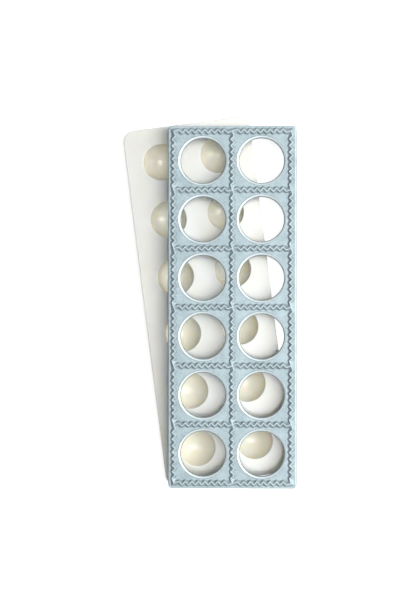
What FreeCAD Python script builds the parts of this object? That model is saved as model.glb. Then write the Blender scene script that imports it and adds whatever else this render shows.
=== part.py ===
# A ravioli mold of two loose plates, in millimetres, with +Z up.
# The aluminium mold plate lies on the plastic press plate, whose domes stand on the table.
# The origin is on the table, under the middle of the pair's outline.
# X runs across the mold plate and Y along it.

import FreeCAD, Part
import math
import os

# Cells, shared by both plates
cell_pitch = 50.8
cells_across = 2
cells_along = 6

# Zigzag cutting ridges on the mold plate
teeth_per_cell = 9
ridge_height = 1.6
crest_swing = 1.45
crest_width = 0.65
foot_swing = 0.6
foot_width = 5.0

# Cell floor, rim and hole
floor_gap = 0.1
rim_slope_width = 0.5
rim_height = 0.3
bevel_width = 1.35
bevel_tilt_deg = 26.0
hole_edge_radius = 1.4

# Mold plate body
plate_thickness = 2.6
edge_land = 1.4
plate_corner_radius = 3.0
top_edge_radius = 1.1
skirt_wall = 2.2
hollow_corner_radius = 1.0
skirt_draft_deg = 5.0
dome_clearance = 3.0

# Press plate
press_thickness = 2.0
press_margin = 5.6
press_corner_radius = 10.0
press_edge_radius = 0.7
dough_room = 1.55
cup_wall = 1.8
cup_depth = 13.0
cup_lip_radius = 0.5
dome_root_radius = 1.0
dome_flat_diameter = 8.0

# How the press plate lies under the mold plate
press_turn_deg = 7.2
press_shift_x = -21.8
press_shift_y = 5.0

# The teeth leave three quarters of a tooth free on each side of a crossing
tooth_pitch = cell_pitch / teeth_per_cell
first_apex = 0.75 * tooth_pitch
flank_run = tooth_pitch / 2
foot_stretch = math.hypot(flank_run, 2 * foot_swing) / flank_run
ridge_reach = foot_swing + foot_stretch * foot_width / 2

# Sizes of the mold plate that follow
field_width = cells_across * cell_pitch
field_length = cells_along * cell_pitch
plate_margin = ridge_reach + edge_land
plate_width = field_width + 2 * plate_margin
plate_length = field_length + 2 * plate_margin
rim_outer_radius = cell_pitch / 2 - ridge_reach - floor_gap
rim_crest_radius = rim_outer_radius - rim_slope_width
bevel_tilt = math.radians(bevel_tilt_deg)
bevel_foot_radius = rim_crest_radius - bevel_width
hole_radius = bevel_foot_radius - hole_edge_radius * (1 - math.sin(bevel_tilt))

# Sizes of the press plate that follow
press_width = field_width + 2 * press_margin
press_length = field_length + 2 * press_margin
cup_radius = hole_radius - dough_room - cup_wall
cup_ball_radius = (cup_radius ** 2 + cup_depth ** 2) / (2 * cup_depth)
dome_ball_radius = cup_ball_radius + cup_wall
dome_flat_radius = dome_flat_diameter / 2
ball_centre_drop = math.sqrt(dome_ball_radius ** 2 - dome_flat_radius ** 2)

# Heights above the table
ball_centre_z = ball_centre_drop
press_top_z = ball_centre_z + cup_depth - cup_ball_radius
press_under_z = press_top_z - press_thickness
dome_height = press_under_z
skirt_height = plate_thickness + dome_height + dome_clearance
plate_foot_z = press_top_z
plate_top_z = plate_foot_z + skirt_height
plate_under_z = plate_top_z - plate_thickness
crest_z = plate_top_z + ridge_height
rim_top_z = plate_top_z + rim_height
bevel_foot_z = rim_top_z - bevel_width * math.tan(bevel_tilt)


def point(x, y, z=0.0):
    return FreeCAD.Vector(x, y, z)


def rounded_outline(width, length, radius, z):
    x = width / 2 - radius
    y = length / 2 - radius
    corners = [(x, y), (-x, y), (-x, -y), (x, -y)]
    arcs = []
    for index, (cx, cy) in enumerate(corners):
        arc_points = []
        for step in range(3):
            angle = math.radians(90 * index + 45 * step)
            arc_points.append(point(cx + radius * math.cos(angle), cy + radius * math.sin(angle), z))
        arcs.append(arc_points)
    edges = []
    for index, arc_points in enumerate(arcs):
        edges.append(Part.Arc(*arc_points).toShape())
        next_start = arcs[(index + 1) % len(arcs)][0]
        edges.append(Part.LineSegment(arc_points[2], next_start).toShape())
    return Part.Wire(edges)


def tapered_block(width, length, radius, low_z, high_z, draft_deg):
    # The given outline is the one at the top, and the block widens downwards
    spread = (high_z - low_z) * math.tan(math.radians(draft_deg))
    low = rounded_outline(width + 2 * spread, length + 2 * spread, radius + spread, low_z)
    high = rounded_outline(width, length, radius, high_z)
    return Part.makeLoft([low, high], True, True)


def edges_at_height(shape, z, max_error=1e-5):
    found = []
    for edge in shape.Edges:
        box = edge.BoundBox
        if abs(box.ZMin - z) < max_error and abs(box.ZMax - z) < max_error:
            found.append(edge)
    return found


def round_edges_at_height(shape, z, radius):
    return shape.makeFillet(radius, edges_at_height(shape, z))


def cell_centres():
    for column in range(cells_across):
        for row in range(cells_along):
            x = (column + 0.5) * cell_pitch - field_width / 2
            y = (row + 0.5) * cell_pitch - field_length / 2
            yield x, y


def placed_on_cells(solid):
    copies = []
    for x, y in cell_centres():
        copy = solid.copy()
        copy.translate(point(x, y))
        copies.append(copy)
    return copies


def toothed_run(start, along, across, cell_count, swing):
    # One row of teeth: the line runs straight through each crossing
    points = [start]
    for cell in range(cell_count):
        begin = start + along * (cell * cell_pitch)
        for tooth in range(teeth_per_cell - 1):
            near = first_apex + tooth * tooth_pitch
            points.append(begin + along * near + across * swing)
            points.append(begin + along * (near + flank_run) - across * swing)
    return points


def toothed_loop(centre_x, centre_y, columns, rows, swing):
    # Clockwise round a block of cells: top, right side, bottom, left side
    half_x = columns * cell_pitch / 2
    half_y = rows * cell_pitch / 2
    right = point(1, 0)
    up = point(0, 1)
    top_left = point(centre_x - half_x, centre_y + half_y)
    top_right = point(centre_x + half_x, centre_y + half_y)
    bottom_left = point(centre_x - half_x, centre_y - half_y)
    top = toothed_run(top_left, right, up, columns, swing)
    right_side = toothed_run(top_right, up * -1, right, rows, swing)
    bottom = toothed_run(bottom_left, right, up, columns, swing)
    left_side = toothed_run(top_left, up * -1, right, rows, swing)
    bottom_right = point(centre_x + half_x, centre_y - half_y)
    bottom_back = [bottom_right] + bottom[:0:-1]
    left_back = [bottom_left] + left_side[:0:-1]
    return top + right_side + bottom_back + left_back


def offset_loop(points, distance, z):
    # Moves each side of a clockwise loop outwards by distance, with mitred corners
    count = len(points)
    moved = []
    for index in range(count):
        before = points[index] - points[index - 1]
        after = points[(index + 1) % count] - points[index]
        before.normalize()
        after.normalize()
        normal_before = point(-before.y, before.x)
        normal_after = point(-after.y, after.x)
        mitre = (normal_before + normal_after) * (distance / (1 + normal_before.dot(normal_after)))
        moved.append(point(points[index].x + mitre.x, points[index].y + mitre.y, z))
    return moved


def sloped_sides(low, high):
    # One straight-ruled face for each side between two loops of as many corners
    faces = []
    for index in range(len(low)):
        foot = Part.makeLine(low[index - 1], low[index])
        crest = Part.makeLine(high[index - 1], high[index])
        faces.append(Part.makeRuledSurface(foot, crest))
    return faces


def flat_face(loops):
    # The first loop is the outline, and the others are holes in it
    wires = [Part.makePolygon(loop + [loop[0]]) for loop in loops]
    return Part.makeFace(wires, "Part::FaceMakerBullseye")


def make_ridges():
    # The whole net of ridges: a narrow toothed crest, sloped sides, and a wider foot
    # on the plate whose teeth are shallower, as in a casting
    blocks = [(0, 0, cells_across, cells_along, 1)]
    for x, y in cell_centres():
        blocks.append((x, y, 1, 1, -1))
    lows = []
    highs = []
    for x, y, columns, rows, side in blocks:
        foot = toothed_loop(x, y, columns, rows, foot_swing)
        crest = toothed_loop(x, y, columns, rows, crest_swing)
        lows.append(offset_loop(foot, side * foot_width / 2, plate_top_z))
        highs.append(offset_loop(crest, side * crest_width / 2, crest_z))
    faces = [flat_face(lows), flat_face(highs)]
    for low, high in zip(lows, highs):
        faces.extend(sloped_sides(low, high))
    skin = Part.makeCompound(faces)
    skin.sewShape()
    return Part.Solid(skin.Shells[0])


def rim_boss():
    return Part.makeCone(rim_outer_radius, rim_crest_radius, rim_height, point(0, 0, plate_top_z))


def arc_edge(centre, start, end):
    # The short arc about centre from start to end
    way = (start - centre) + (end - centre)
    way.normalize()
    middle = centre + way * start.distanceToPoint(centre)
    return Part.Arc(start, middle, end).toShape()


def hole_cutter():
    # A straight hole whose rounded edge runs out into a bevel up to the top of the rim
    round_z = bevel_foot_z - hole_edge_radius * math.cos(bevel_tilt)
    round_centre = point(hole_radius + hole_edge_radius, 0, round_z)
    wall_top = point(hole_radius, 0, round_z)
    bevel_foot = point(bevel_foot_radius, 0, bevel_foot_z)
    corners = [
        bevel_foot,
        point(rim_crest_radius, 0, rim_top_z),
        point(0, 0, rim_top_z),
        point(0, 0, plate_under_z),
        point(hole_radius, 0, plate_under_z),
        wall_top,
    ]
    edges = [arc_edge(round_centre, wall_top, bevel_foot)]
    for start, end in zip(corners, corners[1:]):
        edges.append(Part.LineSegment(start, end).toShape())
    return Part.Face(Part.Wire(edges)).revolve(point(0, 0), point(0, 0, 1), 360)


def mold_body():
    outer = tapered_block(
        plate_width, plate_length, plate_corner_radius, plate_foot_z, plate_top_z, skirt_draft_deg)
    outer = round_edges_at_height(outer, plate_top_z, top_edge_radius)
    under_spread = plate_thickness * math.tan(math.radians(skirt_draft_deg))
    wall = skirt_wall / math.cos(math.radians(skirt_draft_deg)) - under_spread
    hollow = tapered_block(
        plate_width - 2 * wall, plate_length - 2 * wall, hollow_corner_radius,
        plate_foot_z, plate_under_z, skirt_draft_deg)
    return outer.cut(hollow)


def make_mold_plate():
    raised = placed_on_cells(rim_boss())
    raised.append(make_ridges())
    return mold_body().fuse(raised).cut(placed_on_cells(hole_cutter()))


def press_sheet():
    outline = rounded_outline(press_width, press_length, press_corner_radius, press_under_z)
    sheet = Part.Face(outline).extrude(point(0, 0, press_thickness))
    sheet = round_edges_at_height(sheet, press_top_z, press_edge_radius)
    return round_edges_at_height(sheet, press_under_z, press_edge_radius)


def bowl(ball_radius, flat_radius, flat_z, plane_z, round_radius, cap_z):
    # A ball's lower part whose side runs out into a plane along a small round,
    # with a straight neck above the plane, turned about the axis of the ball
    ball = point(0, 0, ball_centre_z)
    rise = ball_centre_z - plane_z + round_radius
    reach = math.sqrt((ball_radius + round_radius) ** 2 - rise ** 2)
    round_centre = point(reach, 0, plane_z - round_radius)
    meeting = ball + (round_centre - ball) * (ball_radius / (ball_radius + round_radius))
    low = point(flat_radius, 0, flat_z)
    run_out = point(reach, 0, plane_z)
    edges = [arc_edge(ball, low, meeting), arc_edge(round_centre, meeting, run_out)]
    corners = [run_out, point(reach, 0, cap_z), point(0, 0, cap_z), point(0, 0, flat_z), low]
    for start, end in zip(corners, corners[1:]):
        if start.distanceToPoint(end) > 0:
            edges.append(Part.LineSegment(start, end).toShape())
    return Part.Face(Part.Wire(edges)).revolve(point(0, 0), point(0, 0, 1), 360)


def make_press_plate():
    neck_z = press_under_z + press_thickness / 2
    dome = bowl(dome_ball_radius, dome_flat_radius, 0, press_under_z, dome_root_radius, neck_z)
    cup_floor_z = ball_centre_z - cup_ball_radius
    cup = bowl(cup_ball_radius, 0, cup_floor_z, press_top_z, cup_lip_radius, press_top_z)
    plate = press_sheet().fuse(placed_on_cells(dome)).cut(placed_on_cells(cup))
    plate.rotate(point(0, 0), point(0, 0, 1), press_turn_deg)
    plate.translate(point(press_shift_x, press_shift_y))
    return plate


def half_reach(width, length, radius, turn_deg):
    # How far a turned rounded rectangle reaches from its middle along X and Y
    turn = math.radians(turn_deg)
    x = width / 2 - radius
    y = length / 2 - radius
    reach_x = x * abs(math.cos(turn)) + y * abs(math.sin(turn)) + radius
    reach_y = y * abs(math.cos(turn)) + x * abs(math.sin(turn)) + radius
    return reach_x, reach_y


def outline_middle():
    # The middle of the pair's outline, with the mold plate's own middle at zero
    foot_spread = skirt_height * math.tan(math.radians(skirt_draft_deg))
    mold_x = plate_width / 2 + foot_spread
    mold_y = plate_length / 2 + foot_spread
    press_x, press_y = half_reach(press_width, press_length, press_corner_radius, press_turn_deg)
    high_x = max(mold_x, press_shift_x + press_x)
    low_x = min(-mold_x, press_shift_x - press_x)
    high_y = max(mold_y, press_shift_y + press_y)
    low_y = min(-mold_y, press_shift_y - press_y)
    return (high_x + low_x) / 2, (high_y + low_y) / 2


def main():
    os.makedirs("parts", exist_ok=True)
    mold_plate = make_mold_plate()
    press_plate = make_press_plate()
    middle_x, middle_y = outline_middle()
    for plate in (mold_plate, press_plate):
        plate.translate(point(-middle_x, -middle_y))
    mold_plate.exportStep("parts/mold_plate.step")
    press_plate.exportStep("parts/press_plate.step")


main()
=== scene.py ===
import math

import bmesh
import bpy
from mathutils import Matrix, Vector


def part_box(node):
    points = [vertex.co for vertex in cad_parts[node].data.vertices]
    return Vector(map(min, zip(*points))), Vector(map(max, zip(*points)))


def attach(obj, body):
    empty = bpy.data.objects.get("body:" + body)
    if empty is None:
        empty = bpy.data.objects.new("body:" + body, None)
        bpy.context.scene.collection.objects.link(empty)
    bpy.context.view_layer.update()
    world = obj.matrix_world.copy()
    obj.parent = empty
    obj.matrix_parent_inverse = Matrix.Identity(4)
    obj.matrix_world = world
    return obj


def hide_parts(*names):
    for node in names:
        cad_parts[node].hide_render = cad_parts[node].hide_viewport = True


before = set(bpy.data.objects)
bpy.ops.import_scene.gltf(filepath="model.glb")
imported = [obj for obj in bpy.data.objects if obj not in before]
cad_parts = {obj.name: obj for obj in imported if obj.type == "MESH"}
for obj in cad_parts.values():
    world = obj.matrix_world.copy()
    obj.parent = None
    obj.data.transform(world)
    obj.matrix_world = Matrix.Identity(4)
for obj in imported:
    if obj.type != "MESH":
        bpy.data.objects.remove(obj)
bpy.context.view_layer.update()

scene = bpy.context.scene
millimetre = 0.001

# Both plates have the same grid of cells, and the teeth are cut to it
cells = {
    "pitch": 50.8,  # millimetres
    "across": 2,
    "along": 6,
}


def linearColour(hexText):
    # sRGB hex to the linear values that shaders take
    channels = []
    for place in (0, 2, 4):
        value = int(hexText[place:place + 2], 16) / 255
        if value <= 0.04045:
            channels.append(value / 12.92)
        else:
            channels.append(((value + 0.055) / 1.055) ** 2.4)
    return (*channels, 1.0)


def findSocket(sockets, name):
    # A Mix node has several sockets of one name, and only one of them is in use
    if isinstance(name, int):
        return sockets[name]
    return next(socket for socket in sockets if socket.name == name and socket.enabled)


def addNode(tree, kind, settings=None, inputs=None, links=None):
    # settings are the node's own, inputs are fixed socket values, links are (node, output) pairs
    node = tree.nodes.new(kind)
    for name, value in (settings or {}).items():
        setattr(node, name, value)
    for name, value in (inputs or {}).items():
        findSocket(node.inputs, name).default_value = value
    for name, (source, output) in (links or {}).items():
        tree.links.new(findSocket(source.outputs, output), findSocket(node.inputs, name))
    return node


def newMaterial(name):
    material = bpy.data.materials.new(name)
    material.use_nodes = True
    material.node_tree.nodes.clear()
    return material, material.node_tree


def perMetre(sizeInMillimetres):
    # Texture scale for features of a real size
    return 1 / (sizeInMillimetres * millimetre)


def middleOf(low, high):
    # The point on the ground under the middle of a box
    return Vector(((low[0] + high[0]) / 2, (low[1] + high[1]) / 2, 0))


def cellCentres():
    for column in range(cells["across"]):
        for row in range(cells["along"]):
            x = (column + 0.5 - cells["across"] / 2) * cells["pitch"]
            y = (row + 0.5 - cells["along"] / 2) * cells["pitch"]
            yield Vector((x, y))


def halfOfCells(margin):
    # Half the width and half the length of all the cells, with a margin round them
    halfX = cells["across"] * cells["pitch"] / 2 + margin
    halfY = cells["along"] * cells["pitch"] / 2 + margin
    return halfX, halfY


def roundedRing(mesh, halfX, halfY, radius, z, cornerSteps):
    # Counterclockwise from the right side: four corner arcs, straight in between
    ring = []
    for corner, (signX, signY) in enumerate(((1, 1), (-1, 1), (-1, -1), (1, -1))):
        for step in range(cornerSteps + 1):
            angle = math.radians(90 * (corner + step / cornerSteps))
            x = signX * (halfX - radius) + radius * math.cos(angle)
            y = signY * (halfY - radius) + radius * math.sin(angle)
            ring.append(mesh.verts.new((x, y, z)))
    return ring


def sideRings(mesh, halfX, halfY, profile, cornerSteps):
    # A rounded ring for each (distance outwards, z, corner radius)
    rings = []
    for out, z, radius in profile:
        rings.append(roundedRing(mesh, halfX + out, halfY + out, radius, z, cornerSteps))
    return rings


def circleRing(mesh, centre, radius, z, steps):
    ring = []
    for step in range(steps):
        angle = 2 * math.pi * step / steps
        x = centre.x + radius * math.cos(angle)
        y = centre.y + radius * math.sin(angle)
        ring.append(mesh.verts.new((x, y, z)))
    return ring


def bridge(mesh, ringA, ringB, finish=0):
    # A wall between two rings with as many points, with the finish of that material slot
    count = len(ringA)
    for index in range(count):
        following = (index + 1) % count
        face = mesh.faces.new((ringA[index], ringA[following], ringB[following], ringB[index]))
        face.material_index = finish


def stretchOf(ring, first, last):
    # The part of a closed ring from first to last, both included
    count = len(ring)
    span = (last - first) % count
    return [ring[(first + step) % count] for step in range(span + 1)]


def nearestIndex(ring, place):
    distances = [(vertex.co.xy - place).length for vertex in ring]
    return distances.index(min(distances))


def fillBetween(mesh, outer, inner, cuts):
    # A flat ring between two loops that run the same way, as two many-sided faces
    ends = []
    for place in cuts:
        outerIndex = nearestIndex(outer, place)
        innerIndex = nearestIndex(inner, outer[outerIndex].co.xy)
        ends.append((outerIndex, innerIndex))
    for (outerA, innerA), (outerB, innerB) in ((ends[0], ends[1]), (ends[1], ends[0])):
        edge = stretchOf(outer, outerA, outerB)
        back = stretchOf(inner, innerA, innerB)
        mesh.faces.new(edge + back[::-1])


def tiledSheet(mesh, circles, border, z):
    # A flat sheet with one round hole in each cell, out to a border ring
    columns = cells["across"]
    rows = cells["along"]
    grid = {}
    for column in range(columns + 1):
        for row in range(rows + 1):
            x = (column - columns / 2) * cells["pitch"]
            y = (row - rows / 2) * cells["pitch"]
            grid[column, row] = mesh.verts.new((x, y, z))
    for index, circle in enumerate(circles):
        column, row = divmod(index, rows)
        bottomLeft = grid[column, row]
        bottomRight = grid[column + 1, row]
        topRight = grid[column + 1, row + 1]
        topLeft = grid[column, row + 1]
        fromCorner = nearestIndex(circle, topLeft.co.xy)
        toCorner = nearestIndex(circle, bottomRight.co.xy)
        upper = stretchOf(circle, toCorner, fromCorner)
        lower = stretchOf(circle, fromCorner, toCorner)
        mesh.faces.new([bottomRight, topRight, topLeft] + upper[::-1])
        mesh.faces.new([topLeft, bottomLeft, bottomRight] + lower[::-1])
    edge = [grid[column, 0] for column in range(columns)]
    edge += [grid[columns, row] for row in range(rows)]
    edge += [grid[column, rows] for column in range(columns, 0, -1)]
    edge += [grid[0, row] for row in range(rows, 0, -1)]
    fillBetween(mesh, border, edge, [grid[0, rows].co.xy, grid[columns, 0].co.xy])


def meshObject(mesh, name):
    # The finished mesh as an object of the scene
    data = bpy.data.meshes.new(name)
    mesh.to_mesh(data)
    mesh.free()
    item = bpy.data.objects.new(name, data)
    scene.collection.objects.link(item)
    return item


def plateObject(mesh, name, middle, turn):
    # Built in millimetres about its own middle, then put in place in metres
    bmesh.ops.recalc_face_normals(mesh, faces=mesh.faces)
    place = Matrix.Translation(middle) @ Matrix.Rotation(turn, 4, "Z") @ Matrix.Scale(millimetre, 4)
    mesh.transform(place)
    for face in mesh.faces:
        face.smooth = True
    return meshObject(mesh, name)


def keepFlatFaces(piece):
    # Large faces stay flat to the eye, and only the small ones at edges turn the light
    steady = piece.modifiers.new("flatFaces", "WEIGHTED_NORMAL")
    steady.keep_sharp = True


# Mold plate: one casting in aluminium, with teeth between the cells. Lengths are in millimetres
moldPlate = {
    "teethPerCell": 9,
    "firstTooth": 0.75,  # its place after a crossing, in teeth
    "ridgeSwing": 1.45,  # how far the crest's teeth stand to each side
    "footSwing": 0.6,
    "ridgeHeight": 1.6,
    "ridgeFoot": 5.0,  # a ridge's width, at its foot and at its crest
    "ridgeCrest": 0.65,
    "floorGap": 0.1,  # between a ridge's foot and the low rim of a hole
    "rimSlope": 0.5,
    "rimHeight": 0.3,
    "bevelWidth": 1.35,
    "bevelTilt": math.radians(26.0),
    "holeEdgeRadius": 1.4,
    "holeEdgeSteps": 6,
    "thickness": 2.6,
    "edgeLand": 1.4,  # from the outer ridge's foot to the plate's edge
    "cornerRadius": 3.0,
    "edgeRadius": 1.1,
    "edgeSteps": 5,
    "skirtWall": 2.2,
    "draft": math.radians(5.0),  # of the skirt, outwards to its foot
    "hollowCornerRadius": 1.0,
    "leastCornerRadius": 0.1,  # what the cove leaves of it
    "coveRadius": 0.8,  # where the skirt meets the underside
    "coveSteps": 4,
    "softness": 0.16,  # of every edge sharper than softFrom
    "softSegments": 2,
    "softFrom": math.radians(20.0),
    "circleSteps": 96,
    "cornerSteps": 8,
}

# Its three finishes, by the order of its material slots
castSlot = 0
turnedSlot = 1
# The last finish is paler: partly rubbing wear, partly a painted highlight
rubbedAndHighlitSlot = 2

# Points that agree to a hundredth of a millimetre are one crossing or tooth
keysPerMillimetre = 100


def ridgeReach():
    # How far a ridge's foot reaches from the ridge's line
    flank = cells["pitch"] / moldPlate["teethPerCell"] / 2
    stretch = math.hypot(flank, 2 * moldPlate["footSwing"]) / flank
    return moldPlate["footSwing"] + stretch * moldPlate["ridgeFoot"] / 2


def rimRadius():
    # Outside of the low rim round a hole
    return cells["pitch"] / 2 - ridgeReach() - moldPlate["floorGap"]


def holeRadius():
    edgeWidth = moldPlate["holeEdgeRadius"] * (1 - math.sin(moldPlate["bevelTilt"]))
    return rimRadius() - moldPlate["rimSlope"] - moldPlate["bevelWidth"] - edgeWidth


def toothedRun(start, along, across, cellCount, swing):
    # The line of a row of teeth, with a point at each crossing
    tooth = cells["pitch"] / moldPlate["teethPerCell"]
    points = []
    for cell in range(cellCount):
        begin = start + along * (cell * cells["pitch"])
        points.append(begin)
        for index in range(moldPlate["teethPerCell"] - 1):
            near = (moldPlate["firstTooth"] + index) * tooth
            points.append(begin + along * near + across * swing)
            points.append(begin + along * (near + tooth / 2) - across * swing)
    return points


def toothedLoop(centre, columns, rows, swing):
    # Counterclockwise round a block of cells: bottom, right side, top, left side. Every run is laid
    # rightwards or downwards, so that neighbours share its points, and two are then read backwards
    half = Vector((columns, rows)) * cells["pitch"] / 2
    right = Vector((1, 0))
    down = Vector((0, -1))
    up = Vector((0, 1))
    topLeft = centre + Vector((-half.x, half.y))
    topRight = centre + Vector((half.x, half.y))
    bottomLeft = centre + Vector((-half.x, -half.y))
    bottomRight = centre + Vector((half.x, -half.y))
    bottomRun = toothedRun(bottomLeft, right, up, columns, swing)
    rightRun = [bottomRight] + toothedRun(topRight, down, right, rows, swing)[:0:-1]
    topRun = [topRight] + toothedRun(topLeft, right, up, columns, swing)[:0:-1]
    leftRun = toothedRun(topLeft, down, right, rows, swing)
    return bottomRun + rightRun + topRun + leftRun


def offsetLoop(points, distance):
    # Moves each side of a counterclockwise loop outwards, with mitred corners
    moved = []
    for index, here in enumerate(points):
        before = (here - points[index - 1]).normalized()
        after = (points[(index + 1) % len(points)] - here).normalized()
        normalBefore = Vector((before.y, -before.x))
        normalAfter = Vector((after.y, -after.x))
        mitre = (normalBefore + normalAfter) / (1 + normalBefore.dot(normalAfter))
        moved.append(here + mitre * distance)
    return moved


def pointKey(place):
    # The same for points of neighbouring loops that lie in one place
    return (round(place.x * keysPerMillimetre), round(place.y * keysPerMillimetre))


def addRidges(mesh, topZ):
    # One loop runs inside each cell and one outside all of them, and each makes its side of the
    # ridges. Returns the foot ring inside each cell, and the one outside them all
    regions = [(centre, 1, 1, -1) for centre in cellCentres()]
    regions.append((Vector((0, 0)), cells["across"], cells["along"], 1))
    crestEdges = {}
    crossings = {}
    feet = []
    crossingStep = 2 * moldPlate["teethPerCell"] - 1  # points from one crossing to the next
    for centre, columns, rows, side in regions:
        loop = toothedLoop(centre, columns, rows, moldPlate["ridgeSwing"])
        footLoop = toothedLoop(centre, columns, rows, moldPlate["footSwing"])
        crest = offsetLoop(loop, side * moldPlate["ridgeCrest"] / 2)
        foot = offsetLoop(footLoop, side * moldPlate["ridgeFoot"] / 2)
        crestRing = [mesh.verts.new((*place, topZ + moldPlate["ridgeHeight"])) for place in crest]
        footRing = [mesh.verts.new((*place, topZ)) for place in foot]
        bridge(mesh, crestRing, footRing)
        feet.append(footRing)
        keys = [pointKey(place) for place in loop]
        for index in range(len(loop)):
            following = (index + 1) % len(loop)
            ends = [(keys[index], crestRing[index]), (keys[following], crestRing[following])]
            (keyA, vertexA), (keyB, vertexB) = sorted(ends, key=lambda end: end[0])
            crestEdges.setdefault((keyA, keyB), []).append((vertexA, vertexB))
            if index % crossingStep == 0:
                crossings.setdefault(keys[index], []).append(crestRing[index])
    # The narrow crest joins the edges that two loops have along one line, in the paler finish that is
    # partly rubbing wear and partly a painted highlight
    for (startA, endA), (startB, endB) in crestEdges.values():
        mesh.faces.new((startA, endA, endB, startB)).material_index = rubbedAndHighlitSlot
    for key, around in crossings.items():
        if len(around) > 2:
            centre = Vector(key) / keysPerMillimetre
            around.sort(key=lambda vertex: math.atan2(*(vertex.co.xy - centre).yx))
            mesh.faces.new(around).material_index = rubbedAndHighlitSlot
    return feet[:-1], feet[-1]


def holeProfile(topZ, underZ):
    # (radius, z) up the low rim, down its bevel, round the hole's edge and down its wall
    rimTop = topZ + moldPlate["rimHeight"]
    edgeRadius = moldPlate["holeEdgeRadius"]
    tilt = moldPlate["bevelTilt"]
    bevelFoot = rimTop - moldPlate["bevelWidth"] * math.tan(tilt)
    roundMiddle = bevelFoot - edgeRadius * math.cos(tilt)
    points = [(rimRadius(), topZ), (rimRadius() - moldPlate["rimSlope"], rimTop)]
    for step in range(moldPlate["holeEdgeSteps"] + 1):
        angle = tilt + (math.pi / 2 - tilt) * step / moldPlate["holeEdgeSteps"]
        radius = holeRadius() + edgeRadius * (1 - math.sin(angle))
        points.append((radius, roundMiddle + edgeRadius * math.cos(angle)))
    points.append((holeRadius(), underZ))
    return points


def addHoles(mesh, feet, topZ, underZ):
    # Low rim round each hole, its turned bevel, then the rounded edge and straight wall as cast
    profile = holeProfile(topZ, underZ)
    finishes = [castSlot, turnedSlot] + [castSlot] * (moldPlate["holeEdgeSteps"] + 1)
    openings = []
    for centre, foot in zip(cellCentres(), feet):
        rings = [circleRing(mesh, centre, radius, z, moldPlate["circleSteps"]) for radius, z in profile]
        for outer, inner, finish in zip(rings, rings[1:], finishes):
            bridge(mesh, outer, inner, finish)
        toSide = Vector((rimRadius(), 0))
        fillBetween(mesh, foot, rings[0], [centre + toSide, centre - toSide])
        openings.append(rings[-1])
    return openings


def skirtProfile(topZ, underZ, footZ):
    # (distance outwards, z, corner radius) round the top edge, down the skirt and up its inside
    draft = moldPlate["draft"]
    radius = moldPlate["edgeRadius"]
    inset = radius * (1 - math.sin(draft)) / math.cos(draft)
    points = []
    for step in range(moldPlate["edgeSteps"] + 1):
        angle = (math.pi / 2 - draft) * step / moldPlate["edgeSteps"]
        out = radius * math.sin(angle) - inset
        points.append((out, topZ - radius + radius * math.cos(angle), moldPlate["cornerRadius"] + out))
    spread = (topZ - footZ) * math.tan(draft)
    points.append((spread, footZ, moldPlate["cornerRadius"] + spread))
    wall = moldPlate["skirtWall"] / math.cos(draft)
    hollowRadius = moldPlate["hollowCornerRadius"]
    hollowSpread = (underZ - footZ) * math.tan(draft)
    points.append((spread - wall, footZ, hollowRadius + hollowSpread))
    ceilingOut = moldPlate["thickness"] * math.tan(draft) - wall
    cove = moldPlate["coveRadius"]
    for step in range(moldPlate["coveSteps"] + 1):
        angle = math.pi / 2 * step / moldPlate["coveSteps"]
        z = underZ - cove + cove * math.sin(angle)
        inwards = cove * (1 - math.cos(angle))
        out = ceilingOut + (underZ - z) * math.tan(draft) - inwards
        points.append((out, z, max(hollowRadius - inwards, moldPlate["leastCornerRadius"])))
    return points


def makeMoldPlate():
    low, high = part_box("mold_plate")
    middle = middleOf(low, high)
    footZ = low[2] / millimetre
    topZ = high[2] / millimetre - moldPlate["ridgeHeight"]
    underZ = topZ - moldPlate["thickness"]
    mesh = bmesh.new()
    feet, outerFoot = addRidges(mesh, topZ)
    openings = addHoles(mesh, feet, topZ, underZ)
    halfX, halfY = halfOfCells(ridgeReach() + moldPlate["edgeLand"])
    rings = sideRings(mesh, halfX, halfY, skirtProfile(topZ, underZ, footZ), moldPlate["cornerSteps"])
    # The top edge is paler like the crests, partly from rubbing wear and partly as a painted highlight,
    # and the skirt keeps its cast skin
    for index, (ringA, ringB) in enumerate(zip(rings, rings[1:])):
        bridge(mesh, ringA, ringB, rubbedAndHighlitSlot if index < moldPlate["edgeSteps"] - 1 else castSlot)
    fillBetween(mesh, rings[0], outerFoot, [Vector((-halfX, halfY)), Vector((halfX, -halfY))])
    tiledSheet(mesh, openings, rings[-1], underZ)
    piece = plateObject(mesh, "castMoldPlate", middle, 0.0)
    soften = piece.modifiers.new("softEdges", "BEVEL")
    soften.width = moldPlate["softness"] * millimetre
    soften.segments = moldPlate["softSegments"]
    soften.limit_method = "ANGLE"
    soften.angle_limit = moldPlate["softFrom"]
    keepFlatFaces(piece)
    return piece, Vector((middle.x, middle.y, topZ * millimetre))


# Press plate: one plastic moulding, with hollow domes. Lengths are in millimetres
pressPlate = {
    "thickness": 2.0,
    "margin": 5.6,  # from the outer cells to the plate's edge
    "cornerRadius": 10.0,
    "edgeRadius": 0.7,
    "doughRoom": 1.55,  # between a dome and the hole that it goes into
    "wall": 1.8,
    "cupDepth": 13.0,
    "tipShare": 0.02,  # radius of the last ring in a cup, as a share of the ball's
    "lipRadius": 0.5,  # at the mouth of a cup
    "rootRadius": 1.0,  # between a dome and the sheet
    "flatRadius": 4.0,  # on which a dome stands
    "turn": math.radians(7.2),  # as it lies under the mold plate
    "circleSteps": 72,
    "bowlSteps": 16,
    "roundSteps": 4,
    "cornerSteps": 12,
}


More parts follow.
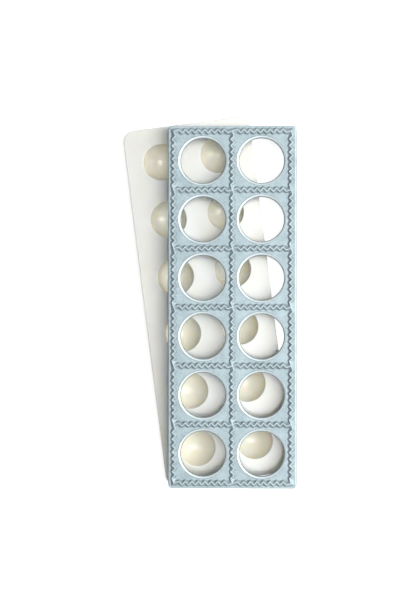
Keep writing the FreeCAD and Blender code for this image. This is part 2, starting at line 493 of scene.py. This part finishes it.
def bowlProfile(ballRadius, ballZ, planeZ, roundRadius, lastRadius):
    # (radius, z) from the plane, round its small edge and down the ball to lastRadius
    rise = ballZ - planeZ + roundRadius
    reach = math.sqrt((ballRadius + roundRadius) ** 2 - rise ** 2)
    tilt = math.atan2(reach, rise)
    points = []
    for step in range(pressPlate["roundSteps"]):
        angle = tilt * step / pressPlate["roundSteps"]
        radius = reach - roundRadius * math.sin(angle)
        points.append((radius, planeZ - roundRadius + roundRadius * math.cos(angle)))
    lastTilt = math.asin(lastRadius / ballRadius)
    for step in range(pressPlate["bowlSteps"] + 1):
        angle = tilt + (lastTilt - tilt) * step / pressPlate["bowlSteps"]
        points.append((ballRadius * math.sin(angle), ballZ - ballRadius * math.cos(angle)))
    return points


def addBowls(mesh, profile):
    # One bowl in each cell. Returns their upper rings
    openings = []
    for centre in cellCentres():
        rings = [circleRing(mesh, centre, radius, z, pressPlate["circleSteps"]) for radius, z in profile]
        for outer, inner in zip(rings, rings[1:]):
            bridge(mesh, outer, inner)
        mesh.faces.new(rings[-1])
        openings.append(rings[0])
    return openings


def edgeProfile(topZ, underZ):
    # (distance outwards, z, corner radius) round the top edge and then the bottom edge
    radius = pressPlate["edgeRadius"]
    steps = pressPlate["roundSteps"]
    points = []
    for middleZ, first in ((topZ - radius, 0), (underZ + radius, steps)):
        for step in range(first, first + steps + 1):
            angle = math.pi / 2 * step / steps
            out = radius * math.sin(angle) - radius
            points.append((out, middleZ + radius * math.cos(angle), pressPlate["cornerRadius"] + out))
    return points


def makePressPlate():
    low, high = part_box("press_plate")
    middle = middleOf(low, high)
    topZ = high[2] / millimetre
    underZ = topZ - pressPlate["thickness"]
    depth = pressPlate["cupDepth"]
    cupRadius = holeRadius() - pressPlate["doughRoom"] - pressPlate["wall"]
    cupBall = (cupRadius ** 2 + depth ** 2) / (2 * depth)
    domeBall = cupBall + pressPlate["wall"]
    ballZ = topZ - depth + cupBall
    cupTip = cupBall * pressPlate["tipShare"]
    cupProfile = bowlProfile(cupBall, ballZ, topZ, pressPlate["lipRadius"], cupTip)
    domeProfile = bowlProfile(domeBall, ballZ, underZ, pressPlate["rootRadius"], pressPlate["flatRadius"])
    mesh = bmesh.new()
    cups = addBowls(mesh, cupProfile)
    domes = addBowls(mesh, domeProfile)
    halfX, halfY = halfOfCells(pressPlate["margin"])
    rings = sideRings(mesh, halfX, halfY, edgeProfile(topZ, underZ), pressPlate["cornerSteps"])
    for ringA, ringB in zip(rings, rings[1:]):
        bridge(mesh, ringA, ringB)
    tiledSheet(mesh, cups, rings[0], topZ)
    tiledSheet(mesh, domes, rings[-1], underZ)
    piece = plateObject(mesh, "mouldedPressPlate", middle, pressPlate["turn"])
    keepFlatFaces(piece)
    return piece


# Tumbled cast aluminium: the mould and the tumbling leave a fine even grain, so it shines softly,
# and rubbing makes crests and edges paler; their paler colour is also a painted highlight for the
# shine along them. The real grain is too fine to show in the render, so it is drawn as coarse as it
# needs to show. Colours are light then dark, lengths in millimetres
castFinish = {
    "asCast": ("A2B2B7", "88989E"),
    # Crests and the top edge: paler, partly from rubbing wear and partly as a painted highlight for their
    # shine
    "rubbedAndHighlit": ("B6C4C8", "A6B5BA"),
    "tintOver": (0.38, 0.62),  # the part of the noise that the colours run over
    "metallic": 0.5,
    "roughness": (0.48, 0.62),
    "roughnessOver": (0.35, 0.65),
    "grain": 1.7,
    "grainDetail": 4.0,
    "grainShare": 0.6,  # of the colour's noise, and the rest is cloud
    "cloud": 9.0,
    "cloudDetail": 3.0,
    "bumpDepth": 0.05,
    "bumpStrength": 0.5,
}


def makeCastAluminium(name, colours):
    material, tree = newMaterial(name)
    light, dark = colours
    place = addNode(tree, "ShaderNodeTexCoord")
    cloud = addNode(tree, "ShaderNodeTexNoise",
                    inputs={"Scale": perMetre(castFinish["cloud"]), "Detail": castFinish["cloudDetail"]},
                    links={"Vector": (place, "Object")})
    grain = addNode(tree, "ShaderNodeTexNoise",
                    inputs={"Scale": perMetre(castFinish["grain"]), "Detail": castFinish["grainDetail"]},
                    links={"Vector": (place, "Object")})
    both = addNode(tree, "ShaderNodeMix", inputs={"Factor": castFinish["grainShare"]},
                   links={"A": (cloud, "Fac"), "B": (grain, "Fac")})
    tint = addNode(tree, "ShaderNodeValToRGB", links={"Fac": (both, "Result")})
    for stop, position, colour in zip(tint.color_ramp.elements, castFinish["tintOver"], (dark, light)):
        stop.position = position
        stop.color = linearColour(colour)
    lowNoise, highNoise = castFinish["roughnessOver"]
    smooth, rough = castFinish["roughness"]
    roughness = addNode(tree, "ShaderNodeMapRange",
                        inputs={"From Min": lowNoise, "From Max": highNoise,
                                "To Min": smooth, "To Max": rough},
                        links={"Value": (grain, "Fac")})
    bump = addNode(tree, "ShaderNodeBump",
                   inputs={"Strength": castFinish["bumpStrength"],
                           "Distance": castFinish["bumpDepth"] * millimetre},
                   links={"Height": (grain, "Fac")})
    shader = addNode(tree, "ShaderNodeBsdfPrincipled",
                     inputs={"Metallic": castFinish["metallic"]},
                     links={"Base Color": (tint, "Color"), "Roughness": (roughness, "Result"),
                            "Normal": (bump, "Normal")})
    addNode(tree, "ShaderNodeOutputMaterial", links={"Surface": (shader, "BSDF")})
    return material


# Turned aluminium: the bevels are cut after casting, so they are bright bare metal, and the cutter's
# fine marks, drawn coarser than they are, break up its shine
turnedFinish = {
    "colours": ("DCE5E7", "CED8DB"),
    "metallic": 0.5,
    "roughness": (0.46, 0.56),
    "roughnessOver": (0.35, 0.65),
    "marks": 0.6,
    "detail": 2.0,
}


def makeTurnedAluminium():
    material, tree = newMaterial("turnedAluminium")
    light, dark = turnedFinish["colours"]
    place = addNode(tree, "ShaderNodeTexCoord")
    marks = addNode(tree, "ShaderNodeTexNoise",
                    inputs={"Scale": perMetre(turnedFinish["marks"]), "Detail": turnedFinish["detail"]},
                    links={"Vector": (place, "Object")})
    tint = addNode(tree, "ShaderNodeValToRGB", links={"Fac": (marks, "Fac")})
    for stop, colour in zip(tint.color_ramp.elements, (dark, light)):
        stop.color = linearColour(colour)
    lowNoise, highNoise = turnedFinish["roughnessOver"]
    smooth, rough = turnedFinish["roughness"]
    roughness = addNode(tree, "ShaderNodeMapRange",
                        inputs={"From Min": lowNoise, "From Max": highNoise,
                                "To Min": smooth, "To Max": rough},
                        links={"Value": (marks, "Fac")})
    shader = addNode(tree, "ShaderNodeBsdfPrincipled",
                     inputs={"Metallic": turnedFinish["metallic"]},
                     links={"Base Color": (tint, "Color"), "Roughness": (roughness, "Result")})
    addNode(tree, "ShaderNodeOutputMaterial", links={"Surface": (shader, "BSDF")})
    return material


# Injection moulded plastic from a polished tool: smooth, warm white, and a little light goes in
plasticFinish = {
    "colours": ("F4F3EE", "EFEDE6"),
    # Painted shade: a warmer, darker colour for the upward faces inside the cups, for the light that goes
    # to and fro between their walls
    "paintedCupShade": "F1EBDB",
    "paintedCupShadeAt": (14.2, 13.2),  # heights between which the colour turns to the painted cup shade
    "noiseOver": (0.3, 0.7),  # the part of the noise that colour and roughness run over
    "roughness": (0.16, 0.22),
    "cloud": 25.0,
    "ripple": 1.6,
    "detail": 2.0,
    "rippleDepth": 0.004,
    "rippleStrength": 0.4,
    "ior": 1.5,
    "lightInside": 0.7,
    "lightDepth": 3.0,
    "lightReach": (1.0, 0.8, 0.45),  # red goes furthest
}


def makeMouldedPlastic():
    material, tree = newMaterial("mouldedWhitePlastic")
    light, dark = plasticFinish["colours"]
    lowNoise, highNoise = plasticFinish["noiseOver"]
    place = addNode(tree, "ShaderNodeTexCoord")
    cloud = addNode(tree, "ShaderNodeTexNoise",
                    inputs={"Scale": perMetre(plasticFinish["cloud"]),
                            "Detail": plasticFinish["detail"]},
                    links={"Vector": (place, "Object")})
    ripple = addNode(tree, "ShaderNodeTexNoise",
                     inputs={"Scale": perMetre(plasticFinish["ripple"]),
                             "Detail": plasticFinish["detail"]},
                     links={"Vector": (place, "Object")})
    tint = addNode(tree, "ShaderNodeValToRGB", links={"Fac": (cloud, "Fac")})
    for stop, position, colour in zip(tint.color_ramp.elements, (lowNoise, highNoise), (dark, light)):
        stop.position = position
        stop.color = linearColour(colour)
    # Painted shade: only the hollow side of the cups is painted warmer and darker, for the light that
    # goes to and fro between the cup's walls
    height = addNode(tree, "ShaderNodeSeparateXYZ", links={"Vector": (place, "Object")})
    highest, lowest = plasticFinish["paintedCupShadeAt"]
    depth = addNode(tree, "ShaderNodeMapRange",
                    inputs={"From Min": highest * millimetre, "From Max": lowest * millimetre},
                    links={"Value": (height, "Z")})
    surface = addNode(tree, "ShaderNodeNewGeometry")
    facing = addNode(tree, "ShaderNodeSeparateXYZ", links={"Vector": (surface, "Normal")})
    upward = addNode(tree, "ShaderNodeMath", {"operation": "GREATER_THAN"}, inputs={1: 0.0},
                     links={0: (facing, "Z")})
    paintedShadeMask = addNode(tree, "ShaderNodeMath", {"operation": "MULTIPLY"},
                    links={0: (depth, "Result"), 1: (upward, 0)})
    withPaintedShade = addNode(tree, "ShaderNodeMix", {"data_type": "RGBA"},
                   inputs={"B": linearColour(plasticFinish["paintedCupShade"])},
                   links={"Factor": (paintedShadeMask, 0), "A": (tint, "Color")})
    smooth, rough = plasticFinish["roughness"]
    roughness = addNode(tree, "ShaderNodeMapRange",
                        inputs={"From Min": lowNoise, "From Max": highNoise,
                                "To Min": smooth, "To Max": rough},
                        links={"Value": (cloud, "Fac")})
    bump = addNode(tree, "ShaderNodeBump",
                   inputs={"Strength": plasticFinish["rippleStrength"],
                           "Distance": plasticFinish["rippleDepth"] * millimetre},
                   links={"Height": (ripple, "Fac")})
    shader = addNode(tree, "ShaderNodeBsdfPrincipled",
                     inputs={"IOR": plasticFinish["ior"],
                             "Subsurface Weight": plasticFinish["lightInside"],
                             "Subsurface Scale": plasticFinish["lightDepth"] * millimetre,
                             "Subsurface Radius": plasticFinish["lightReach"]},
                     links={"Base Color": (withPaintedShade, "Result"), "Roughness": (roughness, "Result"),
                            "Normal": (bump, "Normal")})
    addNode(tree, "ShaderNodeOutputMaterial", links={"Surface": (shader, "BSDF")})
    return material


# Studio: a large soft light high on the right, a small low one that catches what faces it, and a
# floor that is white to the camera where nothing shades it. Lengths are in metres, powers in watts
studio = {
    "floorSize": 6.0,
    "floorColour": "E6E6E4",
    "floorGlow": 0.7,  # only for the rays that show the backdrop, so that the floor is white there
    "worldColour": "FFFFFF",
    "worldStrength": 0.09,
    "softboxPlace": (2.0, -0.1, 4.0),
    "softboxSize": (2.3, 4.5),
    "softboxPower": 229.0,
    "sidePlace": (2.8, 0.1, 1.05),
    "sideSize": (1.5, 1.5),
    "sidePower": 32.0,
    "cardPlace": -0.6,  # along x
    "cardWidth": 2.4,
    "cardHeight": 0.42,
    "cardColour": "202020",
}


def backdropRays(tree):
    # 1 for the rays that show the white backdrop: the camera's, reflected and transmitted ones
    rays = addNode(tree, "ShaderNodeLightPath")
    seenOrGlossy = addNode(tree, "ShaderNodeMath", {"operation": "MAXIMUM"},
                           links={0: (rays, "Is Camera Ray"), 1: (rays, "Is Glossy Ray")})
    return addNode(tree, "ShaderNodeMath", {"operation": "MAXIMUM"},
                   links={0: (seenOrGlossy, 0), 1: (rays, "Is Transmission Ray")})


def makeFloor():
    material, tree = newMaterial("paleFloor")
    strength = addNode(tree, "ShaderNodeMath", {"operation": "MULTIPLY"}, inputs={1: studio["floorGlow"]},
                       links={0: (backdropRays(tree), 0)})
    glow = addNode(tree, "ShaderNodeEmission", links={"Strength": (strength, 0)})
    cover = addNode(tree, "ShaderNodeBsdfDiffuse", inputs={"Color": linearColour(studio["floorColour"])})
    both = addNode(tree, "ShaderNodeAddShader", links={0: (cover, 0), 1: (glow, 0)})
    addNode(tree, "ShaderNodeOutputMaterial", links={"Surface": (both, 0)})
    mesh = bmesh.new()
    bmesh.ops.create_grid(mesh, x_segments=1, y_segments=1, size=studio["floorSize"] / 2)
    floor = meshObject(mesh, "paleFloor")
    floor.data.materials.append(material)


def makeDarkCard():
    # Stands out of view on the left, so that metal facing that way has something dark to reflect
    material, tree = newMaterial("darkCard")
    cover = addNode(tree, "ShaderNodeBsdfDiffuse", inputs={"Color": linearColour(studio["cardColour"])})
    addNode(tree, "ShaderNodeOutputMaterial", links={"Surface": (cover, 0)})
    half = studio["cardWidth"] / 2
    height = studio["cardHeight"]
    mesh = bmesh.new()
    outline = ((-half, 0), (half, 0), (half, height), (-half, height))
    mesh.faces.new([mesh.verts.new((studio["cardPlace"], y, z)) for y, z in outline])
    card = meshObject(mesh, "darkCard")
    card.data.materials.append(material)
    card.visible_camera = False
    card.visible_shadow = False


def makeWorld():
    world = bpy.data.worlds.new("studioWorld")
    world.use_nodes = True
    tree = world.node_tree
    tree.nodes.clear()
    lit = addNode(tree, "ShaderNodeBackground",
                  inputs={"Color": linearColour(studio["worldColour"]),
                          "Strength": studio["worldStrength"]})
    white = addNode(tree, "ShaderNodeBackground",
                    inputs={"Color": linearColour("FFFFFF"), "Strength": 1.0})
    choice = addNode(tree, "ShaderNodeMixShader",
                     links={0: (backdropRays(tree), 0), 1: (lit, 0), 2: (white, 0)})
    addNode(tree, "ShaderNodeOutputWorld", links={"Surface": (choice, 0)})
    scene.world = world


def addSoftbox(name, place, size, power):
    light = bpy.data.lights.new(name, "AREA")
    light.shape = "RECTANGLE"
    light.size = size[0]
    light.size_y = size[1]
    light.energy = power
    softbox = bpy.data.objects.new(name, light)
    softbox.location = place
    softbox.rotation_euler = (-Vector(place)).to_track_quat("-Z", "Y").to_euler()  # aimed at the origin
    softbox.visible_camera = False
    scene.collection.objects.link(softbox)


# Camera: from above and a little from the right, with the picture's framing of the mold plate.
# Lengths are in millimetres
shot = {
    "distance": 1038.0,
    "fromRight": 35.0,
    "pixel": 0.8669,  # what one pixel shows of the mold plate's top
    "imageHeight": 600,  # pixels
    "moldRight": 22.4,  # from the picture's middle to the mold plate's
    "moldDown": 6.2,
}


def makeCamera(moldTop):
    data = bpy.data.cameras.new("overhead")
    # The sensor's width lies along the longer side of the picture, which is its height
    data.lens = data.sensor_width * shot["distance"] / (shot["pixel"] * shot["imageHeight"])
    camera = bpy.data.objects.new("overhead", data)
    lean = math.asin(shot["fromRight"] / shot["distance"])
    aim = moldTop + Vector((-shot["moldRight"], shot["moldDown"], 0)) * millimetre
    back = Vector((math.sin(lean), 0, math.cos(lean))) * shot["distance"] * millimetre
    camera.location = aim + back
    camera.rotation_euler = (0, lean, 0)
    scene.collection.objects.link(camera)
    scene.camera = camera


print("building the mold plate")
castPlate, moldTop = makeMoldPlate()
castPlate.data.materials.append(makeCastAluminium("tumbledCastAluminium", castFinish["asCast"]))
castPlate.data.materials.append(makeTurnedAluminium())
# Paler finish for crests and the top edge: rubbing wear and a painted highlight
castPlate.data.materials.append(makeCastAluminium("rubbedHighlitCastAluminium", castFinish["rubbedAndHighlit"]))
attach(castPlate, "root")
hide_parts("mold_plate")

print("building the press plate")
plasticPlate = makePressPlate()
plasticPlate.data.materials.append(makeMouldedPlastic())
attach(plasticPlate, "root")
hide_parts("press_plate")

print("setting up the studio")
makeFloor()
makeDarkCard()
makeWorld()
addSoftbox("overheadSoftbox", studio["softboxPlace"], studio["softboxSize"], studio["softboxPower"])
addSoftbox("sideSoftbox", studio["sidePlace"], studio["sideSize"], studio["sidePower"])
makeCamera(moldTop)
scene.view_settings.view_transform = "Standard"
